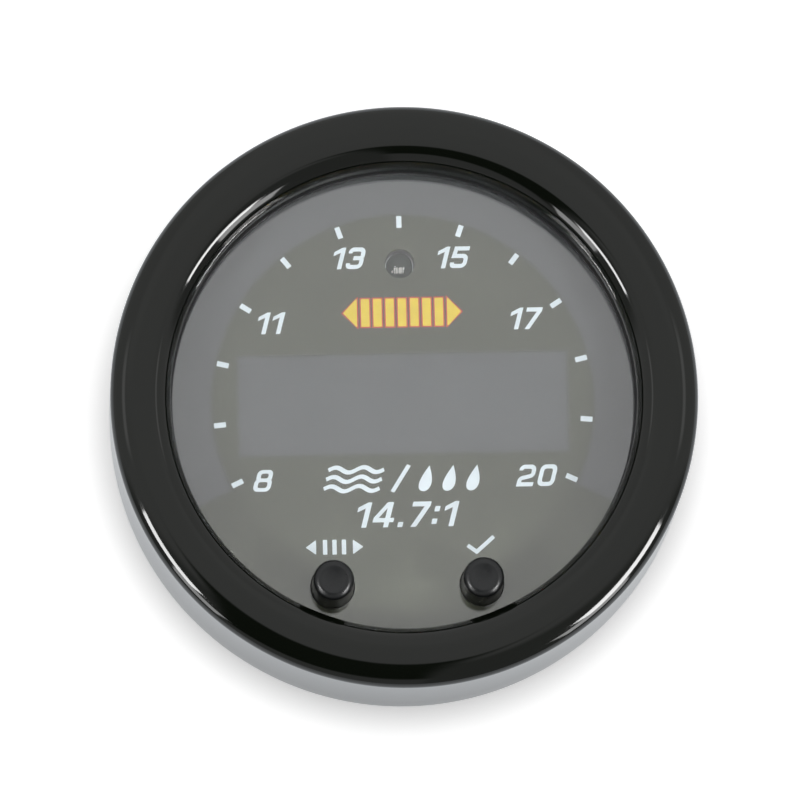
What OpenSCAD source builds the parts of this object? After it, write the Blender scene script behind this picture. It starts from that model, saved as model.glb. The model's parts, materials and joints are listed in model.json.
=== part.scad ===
// Round digital air fuel ratio gauge for a 52 mm panel hole.
// It lies on its back: the back face is at z = 0, +Z looks out of the dial and +Y is 12 o'clock.
// Heights are worked down from the bezel's crown, and the dial parts out from its sight opening.

/* [Body] */
// Outer diameter of the bezel
bezel_d = 59; // [50:0.5:70]
// How far the bezel overhangs the rear spigot that drops into the panel hole
panel_lip = 3.5; // [3.2:0.1:4.2]
// How far the spigot reaches behind the panel
spigot_h = 5.1; // [4.6:0.1:8]
// Wall of the spigot
spigot_wall = 1.8; // [1.4:0.1:2.4]
// Height of the bezel in front of the panel
bezel_h = 15.9; // [15.2:0.1:20]
// Wall of the bezel's tall outer side
bezel_wall = 1.6; // [1.3:0.1:2]
// Width of the bezel's crown, from its outer side to the sight opening
crown_w = 6.1; // [5:0.1:6.5]
// Depth from the crown down to the lens gasket
sight_depth = 4.4; // [4:0.1:6]
// Wall of the rear cover's sleeve inside the bezel
sleeve_wall = 1.4; // [1.1:0.1:1.6]
// Thickness of the rear cover's floor
floor_t = 1.8; // [1.5:0.1:2.2]

/* [Dial] */
// Thickness of the lens
lens_t = 1; // [0.8:0.1:1.5]
// Thickness of the lens gasket
gasket_t = 1; // [0.8:0.1:1.5]
// Width of the gasket that shows round the lens
gasket_show = 0.15; // [0.1:0.05:0.6]
// Width of the light ring window round the dial
ring_w = 4.1; // [3.6:0.1:4.6]
// Half of the angle that the light ring spans, from 12 o'clock
ring_half_angle = 116; // [110:1:124]
// Number of lights in the ring
ring_light_count = 24; // [18:1:26]
// Number of scale marks
mark_count = 13; // [7:1:25]
// Angle from the first scale mark to the last
mark_sweep = 230; // [200:5:236]
// Length of a scale mark
mark_l = 1.2; // [0.8:0.1:1.5]
// Width of a scale mark
mark_w = 0.52; // [0.3:0.02:0.8]
// Plate left between the corners of the display window and the light ring window
window_edge = 1.93; // [1:0.05:3]
// Height of the display window
window_h = 10.2; // [8.6:0.2:11]

/* [Buttons] */
// Distance between the two buttons
button_spacing = 15; // [12:0.2:20]
// Diameter of a button where it leaves the lens
button_d = 4.3; // [3.8:0.1:4.8]
// Diameter of a button at its top
button_top_d = 3.7; // [3.4:0.1:4.4]
// Height of a button above the lens
button_rise = 5.4; // [4:0.1:6]
// How far a button travels when it is pressed
button_travel = 0.3; // [0.2:0.05:0.35]

/* [Connector] */
// Number of contacts in each of the two rows
contact_columns = 4; // [3:1:4]
// Distance between contacts
contact_pitch = 3; // [2.5:0.1:3]
// Length of the socket's opening
socket_w = 13.2; // [12:0.1:13.6]
// Width of the socket's opening
socket_h = 6.2; // [5.6:0.1:6.6]
// Wall of the socket
socket_wall = 1.1; // [0.8:0.1:1.3]

/* [Hidden] */

$fn = 96;

// Overrun that takes a cut past a face
cut = 0.3;
// Play between parts that drop into each other
play = 0.2;
// Closer play round the dial parts
dial_play = 0.1;

// Bezel: rounded edges, the wall round the sight opening and the crown's thickness
// Its crown ends in a slow shoulder that turns into a tight edge
crown_shoulder_w = 2.35;
crown_shoulder_r = 4;
crown_edge_r = 1.2;
shoulder_angle = asin((crown_shoulder_w - crown_edge_r) / (crown_shoulder_r - crown_edge_r));
crown_inner_round = 2;
crown_t = 2;
sight_wall = 1.4;
rim_round = 0.4;
// Snap bead that holds the bezel on the cover
bead_r = 0.8;
bead_rise = 0.4;
bead_height = 2.8;

// Heights of the push switches, and of the buttons' flange and guide above them
switch_floor_t = 0.35;
switch_cover_t = 0.2;
plunger_flange_t = 0.35;
plunger_rest_gap = 0.05;
dome_spare = 0.08;
dome_gap = 0.02;
dome_rise = button_travel + dome_spare;
button_pressed_gap = 0.2;
button_flange_t = 0.6;
button_flange_gap = 0.05;
guide_bore_l = 0.8;
switch_h = switch_floor_t + dome_rise + dome_gap + plunger_flange_t + plunger_rest_gap + switch_cover_t;

// Levels, from the crown down
panel_z = spigot_h;
crown_z = spigot_h + bezel_h;
gasket_top_z = crown_z - sight_depth;
lens_top_z = gasket_top_z - gasket_t;
lens_z = lens_top_z - lens_t;
ink_t = 0.06;
ink_gap = 0.04;
faceplate_top_z = lens_z - ink_t - ink_gap;
faceplate_t = 0.12;
film_top_z = faceplate_top_z - faceplate_t;
film_t = 0.48;
frame_top_z = film_top_z - film_t;
frame_h = switch_h + button_pressed_gap + button_travel + button_flange_t + button_flange_gap
          + guide_bore_l;
board_top_z = frame_top_z - frame_h;
board_t = 1.6;
board_z = board_top_z - board_t;

// Radii, from the bezel in
bezel_r = bezel_d / 2;
bezel_bore_r = bezel_r - bezel_wall;
sleeve_r = bezel_bore_r - play;
sleeve_bore_r = sleeve_r - sleeve_wall;
stack_r = sleeve_bore_r - play;
spigot_r = bezel_r - panel_lip;
spigot_bore_r = spigot_r - spigot_wall;
sight_r = bezel_r - crown_w;
gasket_r = sight_r - gasket_show;

// Rear cover: shoulder, sleeve and the round edge of the spigot
shoulder_t = 1.6;
spigot_round = 0.5;
sleeve_top_z = lens_top_z - play;
bead_z = panel_z + bead_height;

// Dial frame: the rim that carries the lens, and the faceplate inside it
frame_rim_w = 0.6;
faceplate_r = stack_r - frame_rim_w - dial_play;

// Light ring window, which reaches out to the bezel's wall, its guide and the cells of the lights
ring_out_r = sight_r;
ring_in_r = ring_out_r - ring_w;
ring_mid_r = (ring_out_r + ring_in_r) / 2;
guide_t = 1.5;
guide_end_angle = 0.4;
light_margin_angle = 1;
light_l = 1.6;
light_w = 0.8;
light_base_t = 0.3;
light_cap_l = 1;
light_cap_t = 0.4;
cell_wall = 0.7;

// Scale marks
mark_gap = 0.15;
mark_r = ring_in_r - mark_gap - mark_l / 2;

// Light sensor under the dial's small hole
sensor_hole_r = 1.5;
sensor_gap = 2.15;
sensor_r = sensor_hole_r - 2 * dial_play;
sensor_y = mark_r - mark_l / 2 - sensor_gap - sensor_hole_r;
sensor_base_t = 0.6;
sensor_top_z = faceplate_top_z - dial_play;

// Display window, with its corners on a circle inside the light ring, and the module behind it
window_corner_r = ring_in_r - window_edge;
window_w = 2 * sqrt(pow(window_corner_r, 2) - pow(window_h / 2, 2));
display_margin = 0.3;
display_w = window_w - 2 * display_margin;
display_h = window_h - 2 * display_margin;
segment_t = 0.2;
display_top_z = frame_top_z - play;
display_face_z = display_top_z - segment_t;
digit_count = 4;
digit_side_margin = 1.1;
digit_edge_margin = 0.8;
digit_w_share = 0.6;
digit_pitch = (display_w - 2 * digit_side_margin) / digit_count;
digit_w = digit_w_share * digit_pitch;
digit_h = display_h - 2 * digit_edge_margin;
digit_lean = 8;
segment_w = 0.9;
segment_gap = 0.1;
point_r = 0.5;

// Buttons, from the gasket's edge in
button_edge_gap = 1.09;
button_r = button_d / 2;
button_top_r = button_top_d / 2;
button_hole_r = button_r + dial_play;
button_reach = gasket_r - button_edge_gap - button_r;
button_x = button_spacing / 2;
button_y = -sqrt(pow(button_reach, 2) - pow(button_x, 2));
button_top_z = lens_top_z + button_rise;
button_top_round = 0.4;
button_dish = 0.1;
button_dish_r = button_top_r - button_top_round;
button_dish_ball_r = (pow(button_dish_r, 2) + pow(button_dish, 2)) / (2 * button_dish);
button_flange_w = 0.75;

// Push switches under the buttons
switch_w = 5.2;
switch_tab_w = 2.4;
switch_tab_h = 0.8;
switch_cavity_r = 1.9;
switch_pocket_w = switch_w + 2 * (switch_cover_t + play);
plunger_r = 1;
plunger_flange_r = 1.5;
plunger_play = 0.06;
plunger_seat = 0.6;
dome_r = 1.7;
dome_t = 0.08;
dome_z = board_top_z + switch_floor_t;
plunger_flange_z = dome_z + dome_rise + dome_gap;
switch_cover_z = plunger_flange_z + plunger_flange_t + plunger_rest_gap;
button_flange_z = frame_top_z - guide_bore_l - button_flange_gap - button_flange_t;

// Screws that clamp frame and board to the cover, at shares of the board's radius
screw_x_share = 0.515;
screw_y_share = 0.345;
screw_x = screw_x_share * stack_r;
screw_y = screw_y_share * stack_r;
screw_r = 1;
screw_head_r = 2;
screw_head_h = 1.2;
screw_head_sink = 0.4;
screw_slot_w = 0.5;
screw_slot_l = 2.4;
screw_slot_h = 0.7;
screw_bite = 2.3;
screw_play = 0.15;
pilot_play = 0.05;
pilot_spare = 0.3;
screw_seat_z = screw_head_sink + screw_head_h;
boss_r = 2.8;

// Threaded inserts for a mounting bracket
insert_x_share = 0.73;
insert_x = insert_x_share * stack_r;
insert_r = 2.1;
insert_bore_r = 1.25;
insert_l = 4.5;
insert_sink = 0.3;
insert_play = 0.03;
insert_waist_depth = 0.25;
insert_waist_h = 0.6;
insert_boss_wall = 1.1;
insert_boss_top_t = 0.6;

// Connector: it hangs from the board and its mouth is just inside the back face
connector_y_share = -0.42;
connector_y = connector_y_share * stack_r;
connector_sink = 0.2;
connector_base_t = 0.8;
contact_w = 0.64;
contact_recess = 4.8;
contact_tail = 0.6;
contact_play = 0.05;
contact_hole_r = 0.6;
connector_w = socket_w + 2 * socket_wall;
connector_h = socket_h + 2 * socket_wall;
tail_pocket_spare = 0.5;

// Board parts on the rear side, at shares of the board's radius
controller_at_share = [0, 0.315];
driver_at_share = [-0.31, 0.68];
amplifier_at_share = [0.31, 0.68];
regulator_at_share = [0, -0.06];
inductor_at_share = [0.44, 0];
capacitor_at_shares = [[-0.42, 0], [0, 0.7]];
crystal_at_share = [-0.78, 0.19];
chip_capacitor_r_share = 0.84;
chip_lift = 0.1;
lead_w = 0.35;
lead_l = 1;
lead_t = 0.2;
controller_w = 7;
controller_h = 1.4;
controller_leads = 11;
controller_pitch = 0.6;
small_chip_w = 5;
small_chip_l = 4;
small_chip_h = 1.5;
small_chip_leads = 4;
small_chip_pitch = 1.27;
regulator_w = 6.5;
regulator_l = 5;
regulator_h = 2.3;
regulator_leads = 3;
regulator_pitch = 2.3;
inductor_w = 6.4;
inductor_h = 3;
inductor_core_r = 2.6;
inductor_core_sink = 0.4;
inductor_lip = 0.5;
capacitor_r = 3.1;
capacitor_floor_gap = 2.2;
capacitor_h = board_z - floor_t - capacitor_floor_gap;
capacitor_base_w = 6.4;
capacitor_base_h = 0.6;
capacitor_groove = 0.25;
capacitor_groove_z = 1.4;
crystal_w = 5;
crystal_l = 3.2;
crystal_h = 1.1;
crystal_lid_edge = 0.3;
crystal_lid_t = 0.2;
chip_capacitor_count = 12;
chip_capacitor_first_angle = 200;
chip_capacitor_sweep = 140;
chip_capacitor_l = 2;
chip_capacitor_w = 1.25;
chip_capacitor_h = 0.6;

// A box from corner to corner in the plane of a revolved profile
module profile_box(r_from, r_to, z_from, z_to) {
  translate([r_from, z_from])
    square([r_to - r_from, z_to - z_from]);
}

// A flat box centred on x and y, standing on z
module box_on(z, w, l, h) {
  translate([0, 0, z])
    linear_extrude(h)
      square([w, l], center = true);
}

// A solid cylinder standing on z
module disc_on(z, r, h) {
  translate([0, 0, z])
    cylinder(r = r, h = h);
}

// A band of a circle, open at the bottom of the dial
module arc_band(r_in, r_out, half_angle) {
  open_half = tan(180 - half_angle) * r_out;
  difference() {
    circle(r_out);
    circle(r_in);
    polygon([[0, 0], [-open_half, -r_out], [open_half, -r_out]]);
  }
}

// Places that repeat
module at_buttons() {
  for (side = [-1, 1])
    translate([side * button_x, button_y])
      children();
}

module at_screws() {
  for (side = [-1, 1], row = [-1, 1])
    translate([side * screw_x, row * screw_y])
      children();
}

module at_inserts() {
  for (side = [-1, 1])
    translate([side * insert_x, 0])
      children();
}

module at_ring_lights() {
  span = 2 * (ring_half_angle - light_margin_angle);
  for (i = [0 : ring_light_count - 1])
    rotate(span * (i / (ring_light_count - 1) - 0.5))
      translate([0, ring_mid_r])
        children();
}

module at_contacts() {
  first = -(contact_columns - 1) / 2;
  for (i = [0 : contact_columns - 1], row = [-0.5, 0.5])
    translate([(first + i) * contact_pitch, connector_y + row * contact_pitch])
      children();
}

// Everything below hangs from the board's rear face with the board as its ground
module under_board(at_share) {
  translate([at_share[0] * stack_r, at_share[1] * stack_r, board_z])
    mirror([0, 0, 1])
      children();
}

// Bezel: gloss ring with a broad crown, a tall side and a wall down to the gasket
module bezel_profile() {
  crown_in = sight_r + crown_inner_round;
  crown_out = bezel_r - crown_shoulder_w;
  shoulder_end_r = crown_out + crown_shoulder_r * sin(shoulder_angle);
  edge_z = crown_z - crown_shoulder_r + (crown_shoulder_r - crown_edge_r) * cos(shoulder_angle);
  difference() {
    union() {
      profile_box(sight_r, crown_out, gasket_top_z, crown_z - crown_inner_round);
      profile_box(crown_in, crown_out, gasket_top_z, crown_z);
      profile_box(bezel_bore_r, bezel_r, panel_z + rim_round, edge_z);
      profile_box(bezel_bore_r, bezel_r - rim_round, panel_z, edge_z);
      translate([crown_in, crown_z - crown_inner_round])
        circle(crown_inner_round);
      intersection() {
        translate([crown_out, crown_z - crown_shoulder_r])
          circle(crown_shoulder_r);
        profile_box(crown_in, shoulder_end_r, gasket_top_z, crown_z);
      }
      translate([bezel_r - crown_edge_r, edge_z])
        circle(crown_edge_r);
      translate([bezel_r - rim_round, panel_z + rim_round])
        circle(rim_round);
    }
    profile_box(sight_r + sight_wall, bezel_bore_r, gasket_top_z - cut, crown_z - crown_t);
    translate([sleeve_r + bead_rise - bead_r, bead_z])
      circle(bead_r + play / 2);
  }
}

module bezel() {
  color("#1b1b1a")
    rotate_extrude()
      bezel_profile();
}

module lens_gasket() {
  color("#34343a")
    translate([0, 0, lens_top_z])
      linear_extrude(gasket_t)
        difference() {
          circle(stack_r);
          circle(gasket_r);
        }
}

module lens() {
  color("#5a5e62", 0.45)
    translate([0, 0, lens_z])
      linear_extrude(lens_t)
        difference() {
          circle(stack_r);
          at_buttons()
            circle(button_hole_r);
        }
}

module scale_marks() {
  color("#f2f6f8")
    translate([0, 0, faceplate_top_z])
      linear_extrude(ink_t)
        for (i = [0 : mark_count - 1])
          rotate(mark_sweep * (i / (mark_count - 1) - 0.5))
            translate([0, mark_r])
              square([mark_w, mark_l], center = true);
}

// Printed plate with windows for the display and the light ring
module faceplate() {
  color("#7d7d76")
    translate([0, 0, film_top_z])
      linear_extrude(faceplate_t)
        difference() {
          circle(faceplate_r);
          square([window_w, window_h], center = true);
          arc_band(ring_in_r, ring_out_r, ring_half_angle);
          translate([0, sensor_y])
            circle(sensor_hole_r);
          at_buttons()
            circle(button_hole_r);
        }
}

// Translucent film that hides the display and the lights when they are off
module diffuser_film() {
  color("#808385")
    translate([0, 0, frame_top_z])
      linear_extrude(film_t)
        difference() {
          circle(faceplate_r);
          translate([0, sensor_y])
            circle(sensor_hole_r);
          at_buttons()
            circle(button_hole_r);
        }
}

// Frame: carries lens, plate and film, guides the buttons and keeps the lights apart
module dial_frame() {
  cell_l = ring_w - 2 * cell_wall;
  cell_pitch = 2 * (ring_half_angle - light_margin_angle) / (ring_light_count - 1);
  cell_w = ring_mid_r * tan(cell_pitch) - cell_wall;
  pocket_h = switch_cover_z + switch_cover_t + play - board_top_z;
  flange_r = button_r + button_flange_w + play;
  color("#26272a")
    difference() {
      union() {
        disc_on(board_top_z, stack_r, frame_h);
        translate([0, 0, frame_top_z])
          linear_extrude(lens_z - frame_top_z)
            difference() {
              circle(stack_r);
              circle(stack_r - frame_rim_w);
            }
      }
      box_on(board_top_z - cut, window_w - display_margin, window_h - display_margin, frame_h + 2 * cut);
      translate([0, 0, frame_top_z - guide_t])
        linear_extrude(guide_t + cut)
          arc_band(ring_in_r, ring_out_r, ring_half_angle);
      at_ring_lights()
        box_on(board_top_z - cut, cell_w, cell_l, frame_h);
      translate([0, sensor_y])
        disc_on(board_top_z - cut, sensor_hole_r, frame_h + 2 * cut);
      at_buttons() {
        box_on(board_top_z - cut, switch_pocket_w, switch_pocket_w, pocket_h + cut);
        disc_on(board_top_z - cut, flange_r, frame_h - guide_bore_l + cut);
        disc_on(board_top_z - cut, button_hole_r, frame_h + 2 * cut);
      }
      at_screws()
        disc_on(board_top_z - cut, screw_r + pilot_play, screw_bite + pilot_spare + cut);
      translate([0, connector_y])
        box_on(board_top_z - cut, contact_columns * contact_pitch, 2 * contact_pitch,
               contact_tail + tail_pocket_spare + cut);
    }
}

module light_ring() {
  color("#cfd3d4")
    translate([0, 0, frame_top_z - guide_t])
      linear_extrude(guide_t)
        arc_band(ring_in_r + dial_play, ring_out_r - dial_play, ring_half_angle - guide_end_angle);
}

module ring_lights() {
  color("#e8e6d8")
    at_ring_lights() {
      box_on(board_top_z, light_l, light_w, light_base_t);
      box_on(board_top_z, light_cap_l, light_w, light_base_t + light_cap_t);
    }
}

// Clear sensor with a domed top that sits in the plate's small hole
module light_sensor() {
  color("#8f9498", 0.7)
    translate([0, sensor_y]) {
      disc_on(board_top_z, sensor_hole_r - dial_play, sensor_base_t);
      disc_on(board_top_z, sensor_r, sensor_top_z - sensor_r - board_top_z);
      translate([0, 0, sensor_top_z - sensor_r])
        sphere(sensor_r);
    }
}

module display_module() {
  color("#3a3c40")
    box_on(board_top_z, display_w, display_h, display_face_z - board_top_z);
}

// Leans a point of a digit to the right
function lean(p) = [p[0] + p[1] * tan(digit_lean), p[1]];

// One pointed segment along a line through its middle
module segment(mid, l, upright) {
  half = l / 2 - segment_gap;
  side = segment_w / 2;
  outline = [[-half, 0], [side - half, side], [half - side, side],
             [half, 0], [half - side, -side], [side - half, -side]];
  polygon([for (p = outline) lean(upright ? [mid[0] + p[1], mid[1] + p[0]] : mid + p)]);
}

module digit() {
  across = digit_w - segment_w;
  up = (digit_h - segment_w) / 2;
  for (row = [-1, 0, 1])
    segment([0, row * up], across, false);
  for (side = [-1, 1], row = [-1, 1])
    segment([side * across / 2, row * up / 2], up, true);
}

// Four digits with a point after each
module display_segments() {
  color("#9a9da0")
    translate([0, 0, display_face_z])
      linear_extrude(segment_t)
        for (i = [0 : digit_count - 1])
          translate([(i - (digit_count - 1) / 2) * digit_pitch, 0]) {
            digit();
            translate(lean([digit_pitch / 2, segment_w / 2 - digit_h / 2]))
              circle(point_r);
          }
}

module circuit_board() {
  color("#1f5a3a")
    translate([0, 0, board_z])
      linear_extrude(board_t)
        difference() {
          circle(stack_r);
          at_screws()
            circle(screw_r + screw_play);
          at_contacts()
            circle(contact_hole_r);
        }
}

// Button: flange under the frame's guide, shaft through the lens and a soft-edged top
module button_cap() {
  shaft_z = button_flange_z + button_flange_t;
  color("#2e2f31")
    rotate_extrude()
      difference() {
        union() {
          profile_box(0, button_r + button_flange_w, button_flange_z, shaft_z);
          profile_box(0, button_r, button_flange_z, lens_top_z);
          polygon([[0, lens_top_z], [button_r, lens_top_z],
                   [button_top_r, button_top_z - button_top_round], [0, button_top_z - button_top_round]]);
          profile_box(0, button_top_r - button_top_round, lens_top_z, button_top_z);
          translate([button_top_r - button_top_round, button_top_z - button_top_round])
            circle(button_top_round);
        }
        profile_box(0, plunger_r + plunger_play, button_flange_z - cut,
                    button_flange_z + plunger_seat);
        translate([0, button_top_z - button_dish + button_dish_ball_r])
          circle(button_dish_ball_r);
      }
}

module switch_base() {
  color("#232323")
    difference() {
      box_on(board_top_z, switch_w, switch_w, switch_cover_z - board_top_z);
      disc_on(dome_z, switch_cavity_r, switch_cover_z - dome_z + cut);
    }
}

// Sheet metal cover with a hole for the plunger and a tab down each side
module switch_cover() {
  color("#b9bcc0")
    difference() {
      union() {
        box_on(switch_cover_z, switch_w + 2 * switch_cover_t, switch_w, switch_cover_t);
        for (side = [-1, 1])
          translate([side * (switch_w + switch_cover_t) / 2, 0])
            box_on(switch_cover_z - switch_tab_h, switch_cover_t, switch_tab_w, switch_tab_h);
      }
      disc_on(switch_cover_z - cut, plunger_r + plunger_play, switch_cover_t + 2 * cut);
    }
}

module switch_plunger() {
  color("#d8d4c4") {
    disc_on(plunger_flange_z, plunger_flange_r, plunger_flange_t);
    disc_on(plunger_flange_z, plunger_r, button_flange_z + plunger_seat - plunger_flange_z);
  }
}

// Sprung snap dome: a thin shallow cap of a ball
module switch_dome() {
  ball_r = (pow(dome_r, 2) + pow(dome_rise, 2)) / (2 * dome_rise);
  color("#c9ccd0")
    translate([0, 0, dome_z])
      rotate_extrude()
        intersection() {
          profile_box(0, dome_r, 0, dome_rise);
          translate([0, dome_rise - ball_r])
            difference() {
              circle(ball_r);
              circle(ball_r - dome_t);
            }
        }
}

module at_mode() {
  translate([-button_x, button_y])
    children();
}

module at_select() {
  translate([button_x, button_y])
    children();
}

// A chip with leads on two or four sides, its back on the board
module chip(w, l, h, lead_count, pitch, four_sides) {
  box_on(chip_lift, w, l, h);
  first = -(lead_count - 1) / 2;
  for (i = [0 : lead_count - 1], side = [-1, 1]) {
    translate([(first + i) * pitch, side * l / 2])
      box_on(0, lead_w, 2 * lead_l, lead_t);
    if (four_sides)
      translate([side * w / 2, (first + i) * pitch])
        box_on(0, 2 * lead_l, lead_w, lead_t);
  }
}

module controller_chip() {
  color("#202124")
    under_board(controller_at_share)
      chip(controller_w, controller_w, controller_h, controller_leads, controller_pitch, true);
}

module heater_driver() {
  color("#202124")
    under_board(driver_at_share)
      chip(small_chip_w, small_chip_l, small_chip_h, small_chip_leads, small_chip_pitch, false);
}

module sensor_amplifier() {
  color("#202124")
    under_board(amplifier_at_share)
      chip(small_chip_w, small_chip_l, small_chip_h, small_chip_leads, small_chip_pitch, false);
}

module voltage_regulator() {
  color("#202124")
    under_board(regulator_at_share)
      chip(regulator_w, regulator_l - lead_l, regulator_h, regulator_leads, regulator_pitch, false);
}

module power_inductor() {
  color("#3c3c3e")
    under_board(inductor_at_share)
      difference() {
        box_on(0, inductor_w, inductor_w, inductor_h);
        translate([0, 0, inductor_h - inductor_core_sink])
          linear_extrude(inductor_core_sink + cut)
            difference() {
              circle(inductor_core_r);
              circle(inductor_core_r - inductor_lip);
            }
      }
}

// Can capacitors with a rolled groove above their square base
module filter_capacitors() {
  color("#b4b7ba")
    for (place = capacitor_at_shares)
      under_board(place) {
        box_on(0, capacitor_base_w, capacitor_base_w, capacitor_base_h);
        rotate_extrude()
          difference() {
            profile_box(0, capacitor_r, 0, capacitor_h);
            translate([capacitor_r, capacitor_groove_z])
              circle(capacitor_groove);
          }
      }
}

module chip_capacitors() {
  step = chip_capacitor_sweep / (chip_capacitor_count - 1);
  color("#b89a6e")
    for (i = [0 : chip_capacitor_count - 1])
      rotate(chip_capacitor_first_angle + i * step)
        under_board([chip_capacitor_r_share, 0])
          box_on(0, chip_capacitor_w, chip_capacitor_l, chip_capacitor_h);
}

module crystal() {
  color("#c4c6c8")
    under_board(crystal_at_share) {
      box_on(0, crystal_w, crystal_l, crystal_h - crystal_lid_t);
      box_on(0, crystal_w - crystal_lid_edge, crystal_l - crystal_lid_edge, crystal_h);
    }
}

module connector_socket() {
  color("#1d1d1f")
    difference() {
      translate([0, connector_y])
        box_on(connector_sink, connector_w, connector_h, board_z - connector_sink);
      translate([0, connector_y])
        box_on(connector_sink - cut, socket_w, socket_h, board_z - connector_base_t - connector_sink + cut);
      at_contacts()
        box_on(board_z - connector_base_t - cut, contact_w + 2 * contact_play, contact_w + 2 * contact_play,
               connector_base_t + 2 * cut);
    }
}

module connector_pins() {
  color("#c8a54a")
    at_contacts()
      box_on(contact_recess, contact_w, contact_w, board_top_z + contact_tail - contact_recess);
}

// Rear cover: spigot, shoulder and sleeve in one turned form
module cover_profile() {
  profile_box(0, spigot_r - spigot_round, 0, floor_t);
  profile_box(spigot_bore_r, spigot_r, spigot_round, panel_z + shoulder_t);
  profile_box(spigot_bore_r, spigot_r - spigot_round, 0, panel_z);
  translate([spigot_r - spigot_round, spigot_round])
    circle(spigot_round);
  profile_box(spigot_bore_r, sleeve_r, panel_z, panel_z + shoulder_t);
  profile_box(sleeve_bore_r, sleeve_r, panel_z, sleeve_top_z);
  intersection() {
    translate([sleeve_r + bead_rise - bead_r, bead_z])
      circle(bead_r);
    profile_box(sleeve_r - sleeve_wall / 2, bezel_r, panel_z, sleeve_top_z);
  }
}

module rear_cover() {
  insert_boss_z = insert_sink + insert_l + insert_boss_top_t;
  color("#222325")
    difference() {
      union() {
        rotate_extrude()
          cover_profile();
        at_screws()
          disc_on(0, boss_r, board_z);
        at_inserts()
          disc_on(0, insert_r + insert_boss_wall, insert_boss_z);
      }
      translate([0, connector_y])
        box_on(-cut, connector_w + 2 * play, connector_h + 2 * play, floor_t + 2 * cut);
      at_screws() {
        disc_on(-cut, screw_head_r + play, screw_seat_z + cut);
        disc_on(-cut, screw_r + screw_play, board_z + 2 * cut);
      }
      at_inserts()
        disc_on(-cut, insert_r + insert_play, insert_sink + insert_l + cut);
    }
}

// Threaded inserts with a grooved waist
module bracket_inserts() {
  color("#c9a24e")
    at_inserts()
      rotate_extrude()
        difference() {
          profile_box(insert_bore_r, insert_r, insert_sink, insert_sink + insert_l);
          profile_box(insert_r - insert_waist_depth, insert_r + cut,
                      insert_sink + (insert_l - insert_waist_h) / 2,
                      insert_sink + (insert_l + insert_waist_h) / 2);
        }
}

// Screws from the back, with a cross in the head
module cover_screws() {
  color("#8d9094")
    at_screws()
      difference() {
        union() {
          disc_on(screw_head_sink, screw_head_r, screw_head_h);
          disc_on(screw_head_sink, screw_r, board_top_z + screw_bite - screw_head_sink);
        }
        box_on(screw_head_sink - cut, screw_slot_w, screw_slot_l, screw_slot_h + cut);
        box_on(screw_head_sink - cut, screw_slot_l, screw_slot_w, screw_slot_h + cut);
      }
}

bezel();
lens_gasket();
lens();
scale_marks();
faceplate();
diffuser_film();
dial_frame();
light_ring();
ring_lights();
light_sensor();
display_module();
display_segments();
circuit_board();
at_mode() button_cap();  // mode_button
at_mode() switch_base();  // mode_switch_base
at_mode() switch_cover();  // mode_switch_cover
at_mode() switch_plunger();  // mode_switch_plunger
at_mode() switch_dome();  // mode_switch_dome
at_select() button_cap();  // select_button
at_select() switch_base();  // select_switch_base
at_select() switch_cover();  // select_switch_cover
at_select() switch_plunger();  // select_switch_plunger
at_select() switch_dome();  // select_switch_dome
controller_chip();
heater_driver();
sensor_amplifier();
voltage_regulator();
power_inductor();
filter_capacitors();
chip_capacitors();
crystal();
connector_socket();
connector_pins();
rear_cover();
bracket_inserts();
cover_screws();
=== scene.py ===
import json
import math

import bmesh
import bpy
from mathutils import Matrix, Vector

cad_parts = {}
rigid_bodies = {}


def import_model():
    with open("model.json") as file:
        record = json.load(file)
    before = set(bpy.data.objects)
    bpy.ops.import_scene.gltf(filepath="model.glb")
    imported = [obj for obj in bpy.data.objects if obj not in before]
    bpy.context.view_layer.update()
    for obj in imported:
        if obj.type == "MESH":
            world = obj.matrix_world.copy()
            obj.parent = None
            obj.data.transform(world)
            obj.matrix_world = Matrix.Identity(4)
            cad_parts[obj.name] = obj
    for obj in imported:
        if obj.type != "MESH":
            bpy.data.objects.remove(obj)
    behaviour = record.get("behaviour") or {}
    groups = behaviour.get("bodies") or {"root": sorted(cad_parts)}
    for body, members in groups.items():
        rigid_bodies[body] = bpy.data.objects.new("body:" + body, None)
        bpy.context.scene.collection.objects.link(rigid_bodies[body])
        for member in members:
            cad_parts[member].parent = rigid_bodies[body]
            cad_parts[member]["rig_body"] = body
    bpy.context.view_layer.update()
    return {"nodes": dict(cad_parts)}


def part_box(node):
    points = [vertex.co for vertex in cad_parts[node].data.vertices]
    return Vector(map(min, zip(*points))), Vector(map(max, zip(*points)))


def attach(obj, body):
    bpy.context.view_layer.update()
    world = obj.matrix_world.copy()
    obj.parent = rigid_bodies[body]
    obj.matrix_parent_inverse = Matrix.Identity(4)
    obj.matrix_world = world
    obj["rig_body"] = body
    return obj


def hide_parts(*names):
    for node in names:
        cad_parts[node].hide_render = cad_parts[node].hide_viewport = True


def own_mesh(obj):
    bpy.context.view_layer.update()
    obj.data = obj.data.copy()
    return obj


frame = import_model()
nodes = frame["nodes"]

MM = 0.001
PRINT_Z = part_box("faceplate")[1].z
CROWN_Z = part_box("bezel")[1].z
BEZEL_R = 29.5 * MM
BUTTONS = ("mode", "select")


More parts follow.
